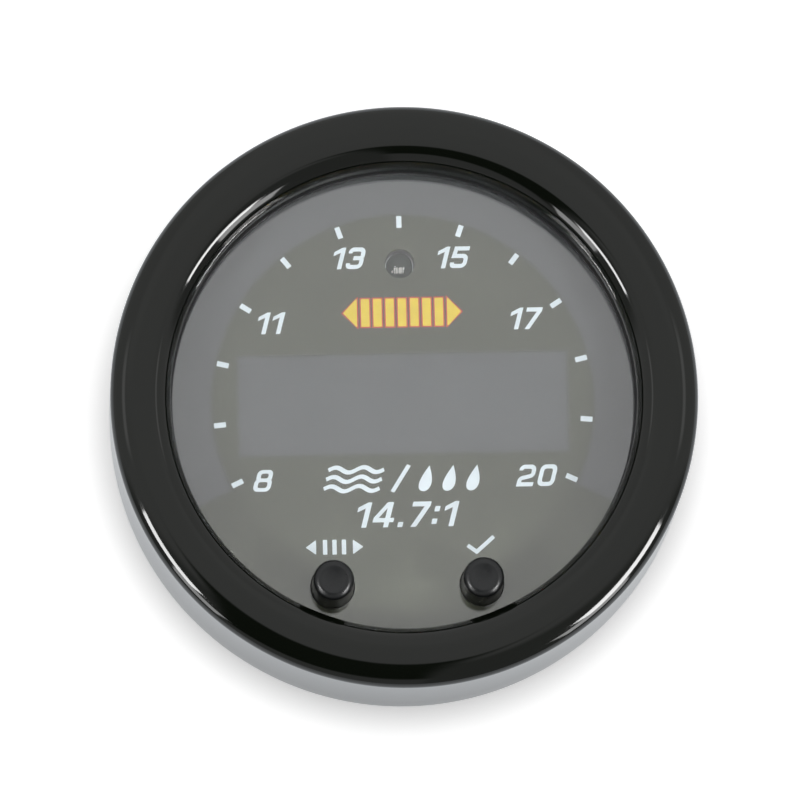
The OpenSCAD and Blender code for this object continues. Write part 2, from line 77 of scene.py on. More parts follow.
# ---------------------------------------------------------------- node trees and materials
class Nodes:
    """Short calls for the nodes of one material or world, whose tree starts empty."""

    def __init__(self, owner):
        owner.use_nodes = True
        self.tree = owner.node_tree
        self.tree.nodes.clear()

    def node(self, kind, **values):
        n = self.tree.nodes.new(kind)
        for key, value in values.items():
            setattr(n, key, value)
        return n

    def link(self, source, socket):
        self.tree.links.new(source, socket)

    def put(self, socket, value):
        """Links a socket to an output, or writes a constant into it."""
        if hasattr(value, "is_linked"):
            self.link(value, socket)
        else:
            socket.default_value = value

    def math(self, operation, a, b=0.0):
        n = self.node("ShaderNodeMath", operation=operation)
        self.put(n.inputs[0], a)
        self.put(n.inputs[1], b)
        return n.outputs[0]

    def remap(self, value, low, high, to_low=0.0, to_high=1.0, smooth=False):
        n = self.node("ShaderNodeMapRange", interpolation_type="SMOOTHSTEP" if smooth else "LINEAR")
        for socket, v in zip(n.inputs, (value, low, high, to_low, to_high)):
            self.put(socket, v)
        return n.outputs[0]

    def step(self, value, low, high, to_low=0.0, to_high=1.0):
        """Soft step from to_low to to_high."""
        return self.remap(value, low, high, to_low, to_high, smooth=True)


class Surface(Nodes):
    """A material with one Principled shader."""

    def __init__(self, name):
        self.mat = bpy.data.materials.new(name)
        super().__init__(self.mat)
        self.out = self.node("ShaderNodeOutputMaterial")
        self.shader = self.node("ShaderNodeBsdfPrincipled")
        self.link(self.shader.outputs[0], self.out.inputs[0])
        self.place = self.node("ShaderNodeTexCoord").outputs["Object"]

    def set(self, **values):
        for key, value in values.items():
            self.put(self.shader.inputs[key.replace("_", " ")], value)

    def noise(self, size, detail=2.0, rough=0.5, vector=None):
        """Noise with features of about size metres."""
        n = self.node("ShaderNodeTexNoise")
        self.link(vector or self.place, n.inputs["Vector"])
        n.inputs["Scale"].default_value = 1.0 / size
        n.inputs["Detail"].default_value = detail
        n.inputs["Roughness"].default_value = rough
        return n.outputs["Fac"]

    def uneven(self, size, detail, low, high):
        """A value that wanders between low and high over about size metres."""
        return self.remap(self.noise(size, detail), 0.3, 0.7, low, high)

    def cells(self, size):
        """Distance from the nearest of scattered points, about size metres apart."""
        n = self.node("ShaderNodeTexVoronoi")
        self.link(self.place, n.inputs["Vector"])
        n.inputs["Scale"].default_value = 1.0 / size
        return n.outputs["Distance"]

    def mix(self, share, a, b):
        """A colour between two, each a socket or three numbers."""
        n = self.node("ShaderNodeMix", data_type="RGBA")
        self.put(n.inputs["Factor"], share)
        sockets = [s for s in n.inputs if s.type == "RGBA"]
        for socket, colour in zip(sockets, (a, b)):
            self.put(socket, colour if hasattr(colour, "is_linked") else (*colour, 1.0))
        return [s for s in n.outputs if s.type == "RGBA"][0]

    def bump(self, height, strength, distance):
        n = self.node("ShaderNodeBump")
        n.inputs["Strength"].default_value = strength
        n.inputs["Distance"].default_value = distance
        self.link(height, n.inputs["Height"])
        return n.outputs[0]

    def axes(self):
        n = self.node("ShaderNodeSeparateXYZ")
        self.link(self.place, n.inputs[0])
        return n.outputs


def srgb(r, g, b):
    """A colour written as the 0 to 255 values that the photo shows."""
    return tuple((v / 255 / 12.92) if v <= 10 else ((v / 255 + 0.055) / 1.055) ** 2.4
                 for v in (r, g, b))


def plain(name, colour, spread=0.12, rough=(0.4, 0.5), mottle=1.5 * MM, grain=0.12 * MM,
          grain_strength=0.25, grain_depth=0.01 * MM, metal=0.0, specks=0.0):
    """Moulded, printed or metal surface: two close tones, uneven roughness and a fine grain."""
    g = Surface(name)
    low = tuple(c * (1 - spread) for c in colour)
    high = tuple(min(1.0, c * (1 + spread)) for c in colour)
    tone = g.mix(g.uneven(mottle, 3.0, 0.0, 1.0), low, high)
    if specks:
        dot = g.remap(g.cells(grain * 6), 0.05, 0.16, 1.0, 0.0)
        speck = tuple(min(1.0, c * 1.8 + 0.02) for c in colour)
        tone = g.mix(g.math("MULTIPLY", dot, specks), tone, speck)
    g.set(Base_Color=tone, Metallic=metal, IOR=1.48,
          Roughness=g.uneven(mottle * 0.6, 2.0, *rough),
          Normal=g.bump(g.noise(grain, 4.0, 0.6), grain_strength, grain_depth))
    return g.mat


def ink(name, colour, spread, mottle):
    """Matte screen print."""
    return plain(name, colour, spread=spread, rough=(0.5, 0.6), mottle=mottle, grain=0.06 * MM,
                 grain_strength=0.1, grain_depth=0.004 * MM)


def gloss_black():
    """Bezel: black gloss paint with a trace of orange peel and faint hairlines."""
    g = Surface("bezel_gloss_black")
    stretch = g.node("ShaderNodeMapping")
    stretch.inputs["Scale"].default_value = (9000, 700, 700)
    stretch.inputs["Rotation"].default_value = (0.3, 0.2, 0.9)
    g.link(g.place, stretch.inputs[0])
    hairlines = g.remap(g.noise(1.0, 3.0, vector=stretch.outputs[0]), 0.62, 0.8)
    tone = g.mix(g.noise(6 * MM, 2.0), (0.0022, 0.0032, 0.0018), (0.0030, 0.0042, 0.0024))
    rough = g.math("ADD", g.uneven(4 * MM, 3.0, 0.05, 0.075), g.math("MULTIPLY", hairlines, 0.04))
    peel = g.bump(g.noise(2.6 * MM, 1.0, 0.4), 0.03, 0.02 * MM)
    g.set(Base_Color=tone, Roughness=rough, IOR=1.47, Normal=peel)
    return g.mat


def clear_plastic(name, tones, tone_size, rough, rough_size, ior, shade):
    """Clear gloss plastic. Shadow rays pass it, tinted by shade, so that lamps light what is behind
    it."""
    g = Surface(name)
    g.set(Base_Color=g.mix(g.noise(tone_size, 2.0), *tones), IOR=ior, Transmission_Weight=1.0,
          Roughness=g.uneven(rough_size, 3.0, *rough))
    passed = g.node("ShaderNodeBsdfTransparent")
    passed.inputs[0].default_value = (*shade, 1.0)
    mixer = g.node("ShaderNodeMixShader")
    g.link(g.node("ShaderNodeLightPath").outputs["Is Shadow Ray"], mixer.inputs[0])
    g.link(g.shader.outputs[0], mixer.inputs[1])
    g.link(passed.outputs[0], mixer.inputs[2])
    g.link(mixer.outputs[0], g.out.inputs[0])
    return g.mat


PRINT_GREY = (0.066, 0.071, 0.051)
WINDOW_GREY = (0.096, 0.101, 0.104)
WINDOW_W, WINDOW_H = 33.209 * MM, 10.2 * MM
RING_IN, RING_HALF = 19.3 * MM, math.radians(116)
EDGE_SOFT, EDGE_RAGGED = 0.4 * MM, 0.2 * MM
DOT_PITCH = 0.14 * MM
# Painted light: the print is made lighter towards the bottom of the dial, between these two
# heights, to offset the shade that the bezel's wall casts there
PALE_Y, DARK_Y, PAINTED_LIGHT_GAIN = -20 * MM, -9 * MM, 1.5


def dial_layer(name, mottle, grain):
    """Dark print whose edges at the windows are soft, with fine screen dots, and painted light
    lower down.
    """
    g = Surface(name)
    x, y, _ = g.axes()
    across = g.math("ABSOLUTE", x)
    beside = g.math("MAXIMUM", g.math("SUBTRACT", across, WINDOW_W / 2),
                    g.math("SUBTRACT", g.math("ABSOLUTE", y), WINDOW_H / 2))
    out = g.math("SQRT", g.math("ADD", g.math("MULTIPLY", x, x), g.math("MULTIPLY", y, y)))
    swing = g.math("SUBTRACT", g.math("ARCTAN2", across, y), RING_HALF)
    ring = g.math("MAXIMUM", g.math("SUBTRACT", RING_IN, out), g.math("MULTIPLY", swing, out))
    ragged = g.math("MULTIPLY", g.math("SUBTRACT", g.noise(2 * MM, 2.0), 0.5), EDGE_RAGGED)
    edge = g.math("ADD", g.math("MINIMUM", beside, ring), ragged)
    printed = g.step(edge, -EDGE_SOFT, EDGE_SOFT)
    dots = g.remap(g.cells(DOT_PITCH), 0.1, 0.4, 0.97, 1.02)
    cloud = g.uneven(mottle, 3.0, 0.96, 1.04)
    # Painted light: the print grows lighter towards the bottom of the dial, against the shade there
    painted_light = g.step(y, PALE_Y, DARK_Y, PAINTED_LIGHT_GAIN, 1.0)
    shade = g.math("MULTIPLY", g.math("MULTIPLY", dots, cloud), painted_light)
    scaled = g.node("ShaderNodeVectorMath", operation="SCALE")
    g.link(g.mix(printed, WINDOW_GREY, PRINT_GREY), scaled.inputs[0])
    g.link(shade, scaled.inputs["Scale"])
    g.set(Base_Color=scaled.outputs[0], Roughness=g.uneven(mottle * 0.5, 2.0, 0.6, 0.7), IOR=1.15,
          Normal=g.bump(g.noise(grain, 3.0), 0.04, 0.003 * MM))
    return g.mat


def dress(node, material):
    """Gives a CAD node one material."""
    mesh = nodes[node].data
    mesh.materials.clear()
    mesh.materials.append(material)
    for p in mesh.polygons:
        p.material_index = 0


bezel_black = gloss_black()
white_ink = ink("white_ink", (0.70, 0.78, 0.82), 0.03, 0.8 * MM)
button_plastic = plain("button_plastic", (0.006, 0.0068, 0.0075), spread=0.1, rough=(0.27, 0.33),
                       mottle=0.9 * MM, grain=0.09 * MM, grain_strength=0.06,
                       grain_depth=0.003 * MM)
dress("bezel", bezel_black)
dress("lens", clear_plastic("clear_lens", ((0.97, 0.975, 0.98), (0.98, 0.985, 0.985)), 9 * MM,
                            (0.01, 0.03), 3 * MM, 1.9, (0.965, 0.97, 0.972)))
dress("light_sensor", clear_plastic("sensor_epoxy", ((0.86, 0.88, 0.87), (0.93, 0.94, 0.93)),
                                    1.2 * MM, (0.03, 0.09), 0.6 * MM, 1.5, (0.9, 0.91, 0.9)))
dress("faceplate", dial_layer("dial_print", 5 * MM, 0.08 * MM))
dress("diffuser_film", dial_layer("diffuser_film", 7 * MM, 0.05 * MM))
dress("scale_marks", white_ink)

black_mould = dict(spread=0.18, rough=(0.42, 0.6), grain=0.16 * MM, grain_strength=0.5,
                   grain_depth=0.02 * MM)
resin = dict(rough=(0.5, 0.65))
for node, name, colour, extra in (
    ("lens_gasket", "gasket_rubber", (32, 33, 34),
     dict(spread=0.2, rough=(0.35, 0.5), grain=0.1 * MM)),
    ("rear_cover", "cover_black", (34, 34, 36), black_mould),
    ("dial_frame", "frame_plastic", (40, 41, 44), black_mould),
    ("connector_socket", "connector_black", (26, 26, 28), black_mould),
    ("light_ring", "light_guide", (205, 209, 212), dict(rough=(0.15, 0.3))),
    ("ring_lights", "light_package", (228, 224, 206), dict(rough=(0.3, 0.5))),
    ("display_module", "display_shell", (52, 54, 58), dict(rough=(0.3, 0.45))),
    ("display_segments", "display_segment", (176, 178, 180), dict(rough=(0.3, 0.4))),
    ("circuit_board", "board_green", (24, 84, 52), dict(rough=(0.25, 0.45), specks=0.3)),
    ("controller_chip", "chip_black", (32, 33, 36), resin),
    ("heater_driver", "driver_black", (30, 31, 33), resin),
    ("sensor_amplifier", "amplifier_black", (33, 33, 35), resin),
    ("voltage_regulator", "regulator_black", (28, 29, 31), resin),
    ("power_inductor", "inductor_ferrite", (62, 62, 64), dict(rough=(0.55, 0.7), specks=0.3)),
    ("filter_capacitors", "capacitor_can", (190, 193, 196), dict(rough=(0.25, 0.4), metal=1.0)),
    ("chip_capacitors", "capacitor_ceramic", (176, 150, 108), dict(rough=(0.4, 0.55))),
    ("crystal", "crystal_can", (200, 202, 205), dict(rough=(0.2, 0.35), metal=1.0)),
    ("connector_pins", "contact_plating", (210, 172, 90), dict(rough=(0.2, 0.35), metal=1.0)),
    ("bracket_inserts", "insert_brass", (206, 168, 88), dict(rough=(0.25, 0.4), metal=1.0)),
    ("cover_screws", "screw_zinc", (160, 162, 166),
     dict(rough=(0.25, 0.42), metal=1.0, spread=0.2)),
):
    dress(node, plain(name, srgb(*colour), **extra))
for side in BUTTONS:
    dress(f"{side}_button", button_plastic)
    for part, colour, extra in (
        ("base", (36, 36, 38), dict(rough=(0.5, 0.6))),
        ("cover", (192, 195, 198), dict(rough=(0.22, 0.36), metal=1.0)),
        ("plunger", (214, 208, 190), dict(rough=(0.4, 0.5))),
        ("dome", (200, 202, 204), dict(rough=(0.15, 0.3), metal=1.0)),
    ):
        name = f"{side}_switch_{part}"
        dress(name, plain(name, srgb(*colour), **extra))

for ob in nodes.values():
    ob.data.shade_smooth()


# ---------------------------------------------------------------- making pieces
def face_outward(mesh, weld=None, crease=None):
    """Turns all faces outward, joins points closer than weld and creases the sharper edges."""
    bm = bmesh.new()
    bm.from_mesh(mesh)
    if weld is not None:
        bmesh.ops.remove_doubles(bm, verts=bm.verts, dist=weld)
    bmesh.ops.recalc_face_normals(bm, faces=bm.faces)
    if crease is not None:
        for edge in bm.edges:
            edge.smooth = edge.calc_face_angle(0.0) < crease
        for face in bm.faces:
            face.smooth = True
    bm.to_mesh(mesh)
    bm.free()


def new_object(name, mesh, material):
    mesh.materials.append(material)
    ob = bpy.data.objects.new(name, mesh)
    bpy.context.scene.collection.objects.link(ob)
    return ob


def turned(name, profile, node, material, steps, closed=True, centre=(0.0, 0.0)):
    """A piece turned from a profile in millimetres, which stands for a node and rides on its body.
    An open profile starts and ends on the axis."""
    verts, faces, rows = [], [], []
    for r, z in profile:
        if r < 1e-6:
            rows.append([len(verts)] * steps)
            verts.append((centre[0] * MM, centre[1] * MM, z * MM))
            continue
        rows.append(list(range(len(verts), len(verts) + steps)))
        for i in range(steps):
            a = 2 * math.pi * i / steps
            verts.append(((centre[0] + r * math.cos(a)) * MM, (centre[1] + r * math.sin(a)) * MM,
                          z * MM))
    for low, high in zip(rows, rows[1:] + (rows[:1] if closed else [])):
        for i in range(steps):
            j = (i + 1) % steps
            corners = [low[i], low[j], high[j], high[i]]
            face = [v for k, v in enumerate(corners) if v not in corners[:k]]
            if len(face) > 2:
                faces.append(face)
    mesh = bpy.data.meshes.new(name)
    mesh.from_pydata(verts, [], faces)
    face_outward(mesh, crease=math.radians(35))
    ob = new_object(name, mesh, material)
    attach(ob, nodes[node]["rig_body"])
    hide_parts(node)
    return ob


def print_piece(name, outlines, material, height=0.04 * MM, z=PRINT_Z):
    """A thin raised print from outlines in metres on the dial, with holes by the even odd rule."""
    curve = bpy.data.curves.new(name, "CURVE")
    curve.dimensions = "2D"
    curve.fill_mode = "BOTH"
    curve.extrude = height / 2
    for points in outlines:
        spline = curve.splines.new("POLY")
        spline.points.add(len(points) - 1)
        for point, p in zip(spline.points, points):
            point.co = (p[0], p[1], 0, 1)
        spline.use_cyclic_u = True
    ob = bpy.data.objects.new(name + "_curve", curve)
    bpy.context.scene.collection.objects.link(ob)
    bpy.context.view_layer.update()
    shape = ob.evaluated_get(bpy.context.evaluated_depsgraph_get())
    mesh = bpy.data.meshes.new_from_object(shape)
    bpy.data.objects.remove(ob)
    mesh.transform(Matrix.Translation((0, 0, z + height / 2)))
    mesh.name = name
    mesh.materials.clear()
    piece = new_object(name, mesh, material)
    face_outward(mesh, weld=1e-7)
    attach(piece, "gauge")


def solid_piece(name, rings, material):
    """A closed piece lofted through rings of points in millimetres, all of one length."""
    verts = [tuple(c * MM for c in p) for ring in rings for p in ring]
    n = len(rings[0])
    faces = [tuple(range(n))[::-1], tuple(range(len(verts) - n, len(verts)))]
    for k in range(len(rings) - 1):
        for i in range(n):
            j = (i + 1) % n
            faces.append((k * n + i, k * n + j, (k + 1) * n + j, (k + 1) * n + i))
    mesh = bpy.data.meshes.new(name)
    mesh.from_pydata(verts, [], faces)
    face_outward(mesh)
    ob = new_object(name, mesh, material)
    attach(ob, "gauge")


# ---------------------------------------------------------------- turned pieces, in millimetres
def arc(x, z, radius, start, end, steps):
    """Points of an arc in a half plane, angles in degrees from the outward direction."""
    points = []
    for i in range(steps + 1):
        a = math.radians(start + (end - start) * i / steps)
        points.append((x + radius * math.cos(a), z + radius * math.sin(a)))
    return points


def bezel_profile():
    """The bezel's own profile, with its arcs in short steps so that they mirror the room without
    breaks. Points along the long walls keep the shading there even."""
    top, outer, turned_r = CROWN_Z / MM, 29.5, 29.49
    sight_r, inner_round = 23.4, 2
    shoulder_w, shoulder_r, edge_r, edge_drop = 2.35, 4, 1.2, 1.447
    panel_z, rim_round, rim_in = 5.1, 0.4, 28.5
    bore_r, bore_low, bore_top = 27.9, 6.2, 19
    groove_r, groove_z, groove = 27.3, 7.9, 0.9
    shelf_r, shelf_z, seat_r = 24.8, 16.6, 24.1
    tilt = math.degrees(math.asin((shoulder_w - edge_r) / (shoulder_r - edge_r)))
    half = math.degrees(math.acos((bore_r - groove_r) / groove))
    profile = [(sight_r, shelf_z), (sight_r, 17.4), (sight_r, 18.2)]
    profile += arc(sight_r + inner_round, top - inner_round, inner_round, 180, 90, 24)
    profile += [(26.0, top), (26.6, top)]
    profile += arc(outer - shoulder_w, top - shoulder_r, shoulder_r, 90, 90 - tilt, 14)
    profile += arc(outer - edge_r, top - edge_drop, edge_r, 90 - tilt, 0, 16)[1:]
    profile += [(outer, 16), (outer, 12), (outer, 8.5)]
    profile += arc(outer - rim_round, panel_z + rim_round, rim_round, 0, -90, 6)
    profile += [(rim_in, panel_z), (bore_r, panel_z), (bore_r, bore_low)]
    profile += arc(groove_r, groove_z, groove, -half, half, 10)
    profile += [(bore_r, 12), (bore_r, bore_top), (26.4, bore_top), (shelf_r, bore_top),
                (shelf_r, 17.8), (shelf_r, shelf_z), (seat_r, shelf_z)]
    return [(min(r, turned_r), z) for r, z in profile]


def cap_profile(foot, top):
    """A button: a wide rounding round a shallow dish, a body that tapers a little, the flange and
    the plunger's seat below."""
    seat_r, seat_depth = 1.06, 0.6
    flange_r, flange_t = 2.9, 0.6
    body_r, lens_z = 2.15, 15.6
    top_r, top_round = 2.05, 0.7
    profile = [(0, foot + seat_depth), (seat_r, foot + seat_depth), (seat_r, foot),
               (flange_r, foot), (flange_r, foot + flange_t), (body_r, foot + flange_t),
               (body_r, lens_z), (2.11, 17), (2.07, 18.6)]
    profile += arc(top_r - top_round, top - top_round, top_round, 4, 90, 14)
    return profile + [(1.1, top - 0.05), (0.6, top - 0.085), (0, top - 0.1)]


def dome_profile(foot, rim, rise):
    """A snap dome: a thin cap of a ball."""
    dome_t = 0.08
    ball = (rim ** 2 + rise ** 2) / (2 * rise)
    skins = [arc(0, foot + rise - ball, radius, 90, math.degrees(math.asin((ball - rise) / radius)),
                 12) for radius in (ball, ball - dome_t)]
    return skins[0] + skins[1][::-1]


turned("bezel_turned", bezel_profile(), "bezel", bezel_black, 288)

for side in BUTTONS:
    low, high = (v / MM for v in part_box(f"{side}_button"))
    turned(f"{side}_button_cap", cap_profile(low.z, high.z), f"{side}_button",
           button_plastic, 72, closed=False, centre=((low.x + high.x) / 2, (low.y + high.y) / 2))

# Each button's plunger presses the dome under it nearly flat
for side in BUTTONS:
    low, high = (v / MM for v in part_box(f"{side}_switch_dome"))
    dome = turned(f"{side}_switch_snap",
                  dome_profile(low.z, (high.x - low.x) / 2, high.z - low.z),
                  f"{side}_switch_dome",
                  nodes[f"{side}_switch_dome"].data.materials[0], 48, closed=False,
                  centre=((low.x + high.x) / 2, (low.y + high.y) / 2))
    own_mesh(dome)


# ---------------------------------------------------------------- outlines of flat prints
SLANT = math.tan(math.radians(15))
FILLET_STEPS = 6


def fillet(points, closed=True):
    """A line through points, rounded where a point has a third value, its radius."""
    out = []
    count = len(points)
    for i, p in enumerate(points):
        here = Vector(p[:2])
        r = p[2] if len(p) > 2 else 0.0
        if r <= 0 or (not closed and i in (0, count - 1)):
            out.append(here)
            continue
        a = Vector(points[i - 1][:2]) - here
        b = Vector(points[(i + 1) % count][:2]) - here
        a.normalize()
        b.normalize()
        half = a.angle(b) / 2
        reach = r / math.tan(half)
        centre = here + (a + b).normalized() * (r / math.sin(half))
        start, end = here + a * reach - centre, here + b * reach - centre
        turn = start.angle_signed(end)
        for k in range(FILLET_STEPS + 1):
            out.append(centre + Matrix.Rotation(-turn * k / FILLET_STEPS, 2) @ start)
    return out


def offsets(path, width):
    """Points to the left and right of an open path, at half the width."""
    left, right = [], []
    for i, p in enumerate(path):
        before = (p - path[i - 1]).normalized() if i else (path[1] - p).normalized()
        after = (path[i + 1] - p).normalized() if i < len(path) - 1 else before
        n0, n1 = Vector((-before.y, before.x)), Vector((-after.y, after.x))
        mid = (n0 + n1).normalized()
        reach = width / 2 / max(0.3, mid.dot(n1))
        left.append(p + mid * reach)
        right.append(p - mid * reach)
    return left, right


def outline(points):
    """Rounded closed outline given in millimetres, in metres."""
    return [p * MM for p in fillet(points)]


def block(x, y, half_w, half_h, radius):
    """Rounded rectangle round a point, given in millimetres, in metres."""
    return outline([(x - half_w, y - half_h, radius), (x + half_w, y - half_h, radius),
                    (x + half_w, y + half_h, radius), (x - half_w, y + half_h, radius)])


def arrowhead(x, y, side, tip, foot, half_h, radius):
    """Arrowhead that points to one side, given in millimetres, in metres."""
    points = [(x + side * tip, y, radius), (x + side * foot, y + half_h, radius),
              (x + side * foot, y - half_h, radius)]
    return outline(points if side < 0 else points[::-1])


def stroke(points, width):
    """One line of even width through points in millimetres, as an outline in metres."""
    left, right = offsets([Vector(p) for p in points], width)
    return [p * MM for p in left + right[::-1]]


def lean(lines, about_y):
    """Leans outlines in metres as the numbers do."""
    return [[Vector((p.x + (p.y - about_y * MM) * SLANT, p.y)) for p in line] for line in lines]


# ---------------------------------------------------------------- numbers, in cap heights
W = 0.19  # width of their strokes


def ribbon(points):
    """One stroke of a number."""
    left, right = offsets(fillet(points, closed=False), W)
    return [left + right[::-1]]


def glyph_three():
    """A stroke round two bowls, with a bar from the left and a notch at the right."""
    left, right = offsets(fillet([(0.09, 0.27), (0.09, W / 2, 0.12), (0.67, W / 2, 0.17),
                                  (0.67, 1 - W / 2, 0.17), (0.09, 1 - W / 2, 0.12), (0.09, 0.73)],
                                 closed=False), W)
    cut = max(i for i, p in enumerate(left) if p.y < 0.5) + 1
    wall_x = left[cut - 1].x
    bar = [Vector((wall_x, 0.5 - W / 2)), Vector((0.27, 0.5 - W / 2)),
           Vector((0.27, 0.5 + W / 2)), Vector((wall_x, 0.5 + W / 2))]
    notch = [Vector((0.765, 0.55)), Vector((0.72, 0.5)), Vector((0.765, 0.45))]
    back = right[::-1]
    place = max(i for i, p in enumerate(back) if p.y > 0.55) + 1
    return [left[:cut] + bar + left[cut:] + back[:place] + notch + back[place:]]


# Each number's width and its outlines
GLYPHS = {
    "0": (0.78, [fillet([(0, 0, 0.26), (0.78, 0, 0.26), (0.78, 1, 0.26), (0, 1, 0.26)]),
                 fillet([(W, W, 0.1), (0.78 - W, W, 0.1), (0.78 - W, 1 - W, 0.1),
                         (W, 1 - W, 0.1)])]),
    "1": (0.5, [fillet([(0.3, 0), (0.5, 0), (0.5, 1), (0.35, 1), (0.0, 0.8), (0.0, 0.61),
                        (0.3, 0.76)])]),
    "2": (0.78, ribbon([(0.09, 0.74), (0.09, 1 - W / 2, 0.13), (0.67, 1 - W / 2, 0.18),
                        (0.67, 0.5, 0.14), (0.11, 0.36, 0.14), (0.11, W / 2), (0.78, W / 2)])),
    "3": (0.765, glyph_three()),
    "4": (0.82, [fillet([(0.46, 0), (0.66, 0), (0.66, 0.2), (0.82, 0.2), (0.82, 0.37),
                         (0.66, 0.37), (0.66, 1), (0.42, 1), (0.0, 0.38), (0.0, 0.2),
                         (0.46, 0.2)]),
                 fillet([(0.2, 0.37), (0.46, 0.37), (0.46, 0.76)])]),
    "5": (0.765, ribbon([(0.74, 1 - W / 2), (0.13, 1 - W / 2), (0.1, 0.56), (0.67, 0.56, 0.16),
                         (0.67, W / 2, 0.17), (0.09, W / 2, 0.12), (0.09, 0.26)])),
    "7": (0.72, [fillet([(0.0, 1), (0.72, 1), (0.72, 0.84), (0.34, 0), (0.12, 0), (0.49, 0.81),
                         (0.0, 0.81)])]),
    "8": (0.8, [fillet([(0, 0, 0.23), (0.8, 0, 0.23), (0.8, 0.47, 0.1), (0.72, 0.53, 0.05),
                        (0.76, 0.59, 0.1), (0.76, 1, 0.22), (0.04, 1, 0.22), (0.04, 0.59, 0.1),
                        (0.08, 0.53, 0.05), (0, 0.47, 0.1)]),
                fillet([(W, W - 0.02, 0.08), (0.8 - W, W - 0.02, 0.08), (0.8 - W, 0.44, 0.08),
                        (W, 0.44, 0.08)]),
                fillet([(0.04 + W, 0.61, 0.07), (0.76 - W, 0.61, 0.07), (0.76 - W, 0.83, 0.07),
                        (0.04 + W, 0.83, 0.07)])]),
    ".": (0.2, [fillet([(0, 0), (0.2, 0), (0.2, 0.2), (0, 0.2)])]),
    ":": (0.2, [fillet([(0, 0.1), (0.2, 0.1), (0.2, 0.31), (0, 0.31)]),
                fillet([(0, 0.6), (0.2, 0.6), (0.2, 0.81), (0, 0.81)])]),
}


def number(text, x, y, cap, gap=0.17):
    """Outlines in metres of a slanted number, centred at a point and with a cap height in
    millimetres."""
    widths = [GLYPHS[c][0] for c in text]
    start = -(sum(widths) + gap * (len(text) - 1)) / 2
    size = cap * MM
    outlines = []
    for c, w in zip(text, widths):
        for line in GLYPHS[c][1]:
            outlines.append([((start + p.x + (p.y - 0.5) * SLANT) * size + x * MM,
                              (p.y - 0.5) * size + y * MM) for p in line])
        start += w + gap
    return outlines


SCALE_CAP, RATIO_CAP, RATIO_GAP = 2.2, 2.55, 0.2
for text, x, y in (("8", -14.19, -7.61), ("11", -13.21, 8.42), ("13", -5.16, 14.92),
                   ("15", 5.34, 14.84), ("17", 12.51, 8.48), ("20", 13.33, -7.54)):
    print_piece("number_" + text, number(text, x, y, SCALE_CAP), white_ink)
print_piece("ratio_numbers", number("14.7:1", 0.11, -11.27, RATIO_CAP, gap=RATIO_GAP), white_ink)

# ---------------------------------------------------------------- inside the clear sensor
sensor_low, sensor_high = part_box("light_sensor")
SENSOR_X = (sensor_low.x + sensor_high.x) / 2 / MM
SENSOR_Y = (sensor_low.y + sensor_high.y) / 2 / MM
SENSOR_TOP = sensor_high.z / MM
# Painted highlight: a near white silver for the crescent of light on the sensor's dome
rim_painted_highlight = plain("rim_painted_highlight", srgb(214, 220, 222), spread=0.1, rough=(0.3, 0.45),
                   mottle=0.5 * MM, grain=0.05 * MM, grain_strength=0.1)
die_metal = plain("die_metal", srgb(238, 238, 232), spread=0.06, rough=(0.3, 0.4),
                  mottle=0.3 * MM, grain=0.04 * MM, grain_strength=0.1)

# A silver rim round the upper part of the sensor that thins out towards its two ends: a painted
# highlight, standing for the crescent of light that the clear dome mirrors
CRESCENT_R, CRESCENT_T, CRESCENT_DEPTH, CRESCENT_STEPS, CRESCENT_START, CRESCENT_SWEEP = 1.375, 0.12, 2, 48, -22, 222
rim = []
for i in range(CRESCENT_STEPS + 1):
    share = i / CRESCENT_STEPS
    a = math.radians(CRESCENT_START + CRESCENT_SWEEP * share)
    w = 0.01 + 0.035 * math.sin(math.pi * share) ** 0.6 * (1 + 0.4 * math.cos(a))
    rim.append([(SENSOR_X + (CRESCENT_R + u) * math.cos(a), SENSOR_Y + (CRESCENT_R + u) * math.sin(a),
                 SENSOR_TOP - CRESCENT_DEPTH + v)
                for u, v in ((-w, 0), (w, 0), (w, CRESCENT_T), (-w, CRESCENT_T))])
solid_piece("sensor_rim_painted_highlight", rim, rim_painted_highlight)

# Block with one corner cut for each part of the die, and for its wire's foot
DIE_DEPTH = 1.75
for name, x, y, w, h, height, cut in (
    ("sensor_die_0", -0.27, -0.22, 0.07, 0.37, 0.1, 0.03),
    ("sensor_die_1", -0.14, -0.22, 0.11, 0.37, 0.1, 0.03),
    ("sensor_die_2", 0.06, -0.22, 0.2, 0.37, 0.1, 0.03),
    ("sensor_die_3", 0.22, -0.22, 0.06, 0.37, 0.1, 0.03),
    ("sensor_wire_foot", -0.42, -0.27, 0.1, 0.14, 0.08, 0.05),
):
    base = [(x - w / 2, y - h / 2), (x + w / 2, y - h / 2), (x + w / 2, y + h / 2),
            (x - w / 2 + cut, y + h / 2), (x - w / 2, y + h / 2 - cut)]
    solid_piece(name, [[(SENSOR_X + px, SENSOR_Y + py, SENSOR_TOP - DIE_DEPTH + k)
                        for px, py in base] for k in (0, height)], die_metal)

# ---------------------------------------------------------------- signs on the dial
# Signs for air and for fuel, where the dial has its words: waves, a bar and drops
SIGN_Y = -7.61
WAVE_X, WAVE_L, WAVE_H, WAVE_GAP, WAVE_W, WAVE_STEPS = -7.9, 5.6, 0.26, 0.95, 0.42, 36
DROP_W, DROP_H, DROP_STEPS = 0.86, 1.32, 48
signs = []
for row in (-WAVE_GAP, 0.0, WAVE_GAP):
    signs.append(stroke([(WAVE_X + WAVE_L * i / WAVE_STEPS,
                          SIGN_Y + row + WAVE_H * math.sin(4 * math.pi * i / WAVE_STEPS))
                         for i in range(WAVE_STEPS + 1)], WAVE_W))
signs.append(stroke([(-0.9, SIGN_Y - 1.35), (0.1, SIGN_Y + 1.35)], 0.45))
for centre in (2.2, 4.6, 7.0):
    drop = []
    for i in range(DROP_STEPS):
        a = 2 * math.pi * i / DROP_STEPS
        drop.append(Vector((centre + DROP_W * math.sin(a) * math.sin(a / 2) ** 1.3,
                            SIGN_Y - 0.02 + DROP_H * math.cos(a))) * MM)
    signs.append(drop)
print_piece("air_fuel_signs", lean(signs, SIGN_Y), white_ink)

